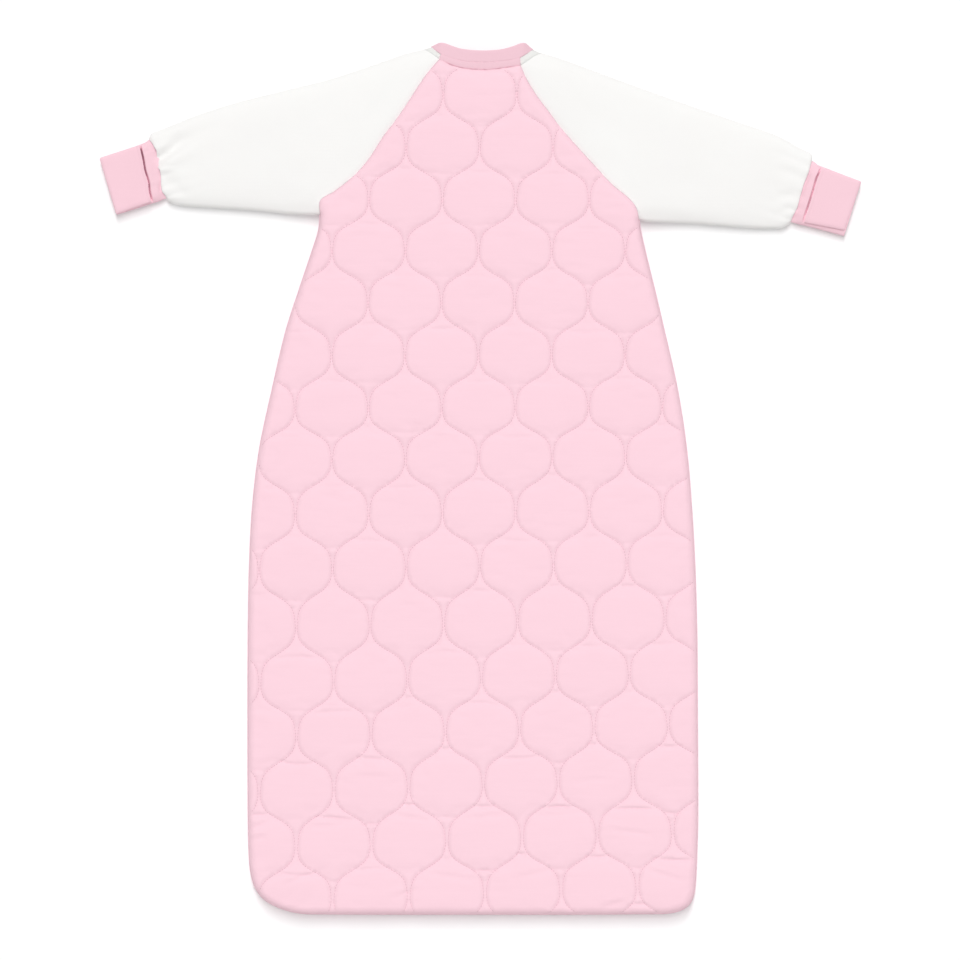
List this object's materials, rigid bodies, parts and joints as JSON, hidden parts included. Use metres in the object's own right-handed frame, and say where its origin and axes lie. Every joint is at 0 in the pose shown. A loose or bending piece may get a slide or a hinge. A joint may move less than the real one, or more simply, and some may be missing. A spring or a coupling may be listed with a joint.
{
  "type": "baby sleeping bag",
  "caption": "Quilted baby sleeping bag laid flat, with padded raglan sleeves, rib neckband, fold-over mitten cuffs and a two-way front zip.",
  "frame": {"origin": "centre of the bounding box in plan, on the flat the bag lies on", "axes": "+Y towards the neck, +Z out of the back panel, the zipped front faces -Z and the wearer's left sleeve is on -X"},
  "size_m": [0.7606, 0.872, 0.027],
  "materials": {
    "pink_quilt": "matte",
    "white_jersey": "matte",
    "pink_rib": "matte",
    "lining": "matte",
    "wadding": "matte",
    "zip_tape": "matte",
    "zip_coil": "matte",
    "zip_metal": "satin",
    "label": "matte"
  },
  "bodies": {
    "torso": {"back_shell": "pink_quilt", "front_shell_left": "pink_quilt", "front_shell_right": "pink_quilt", "side_seam_left": "pink_quilt", "side_seam_right": "pink_quilt", "hem_seam": "pink_quilt", "neck_seam_band": "pink_quilt", "zip_end_tab": "pink_quilt", "back_wadding": "wadding", "front_wadding_left": "wadding", "front_wadding_right": "wadding", "back_lining": "lining", "front_lining_left": "lining", "front_lining_right": "lining", "shoulder_lining_left": "lining", "shoulder_lining_right": "lining", "zip_underflap": "lining", "shoulder_left": "white_jersey", "shoulder_right": "white_jersey", "neckband": "pink_rib", "zip_chin_guard": "pink_rib", "zip_tape_left": "zip_tape", "zip_tape_right": "zip_tape", "zip_teeth_left": "zip_coil", "zip_teeth_right": "zip_coil", "zip_top_stop_left": "zip_metal", "zip_top_stop_right": "zip_metal", "zip_bottom_stop": "zip_metal", "care_label": "label"},
    "left_sleeve": {"sleeve_left": "white_jersey", "sleeve_lining_left": "lining", "cuff_left": "pink_rib"},
    "right_sleeve": {"sleeve_right": "white_jersey", "sleeve_lining_right": "lining", "cuff_right": "pink_rib"},
    "left_mitt": {"mitt_left": "pink_rib"},
    "right_mitt": {"mitt_right": "pink_rib"},
    "top_slider": {"zip_slider_top": "zip_metal"},
    "bottom_slider": {"zip_slider_bottom": "zip_metal"},
    "top_pull": {"zip_pull_top": "zip_metal"},
    "bottom_pull": {"zip_pull_bottom": "zip_metal"}
  },
  "joints": [
    {"name": "left_sleeve_fold", "type": "hinge", "parent": "torso", "child": "left_sleeve", "pos_m": [-0.12375, 0.3452, 0.026], "axis": [0.5154, 0.857, 0], "range_deg": [0, 180]},
    {"name": "right_sleeve_fold", "type": "hinge", "parent": "torso", "child": "right_sleeve", "pos_m": [0.121, 0.3402, 0.026], "axis": [0.4915, -0.8709, 0], "range_deg": [0, 180]},
    {"name": "left_mitt_flip", "type": "hinge", "parent": "left_sleeve", "child": "left_mitt", "pos_m": [-0.371, 0.2937, 0.0136], "axis": [0.2864, -0.9581, 0], "range_deg": [0, 180]},
    {"name": "right_mitt_flip", "type": "hinge", "parent": "right_sleeve", "child": "right_mitt", "pos_m": [0.3708, 0.2711, 0.0136], "axis": [0.3034, 0.9529, 0], "range_deg": [0, 180]},
    {"name": "top_slider_run", "type": "slide", "parent": "torso", "child": "top_slider", "axis": [0, -1, 0], "range_m": [0, 0.712]},
    {"name": "bottom_slider_run", "type": "slide", "parent": "torso", "child": "bottom_slider", "axis": [0, 1, 0], "range_m": [0, 0.708]},
    {"name": "top_pull_swing", "type": "hinge", "parent": "top_slider", "child": "top_pull", "pos_m": [0, 0.3716, 0.00285], "axis": [1, 0, 0], "range_deg": [0, 180]},
    {"name": "bottom_pull_swing", "type": "hinge", "parent": "bottom_slider", "child": "bottom_pull", "pos_m": [0, -0.3744, 0.00285], "axis": [1, 0, 0], "range_deg": [0, 180]}
  ]
}
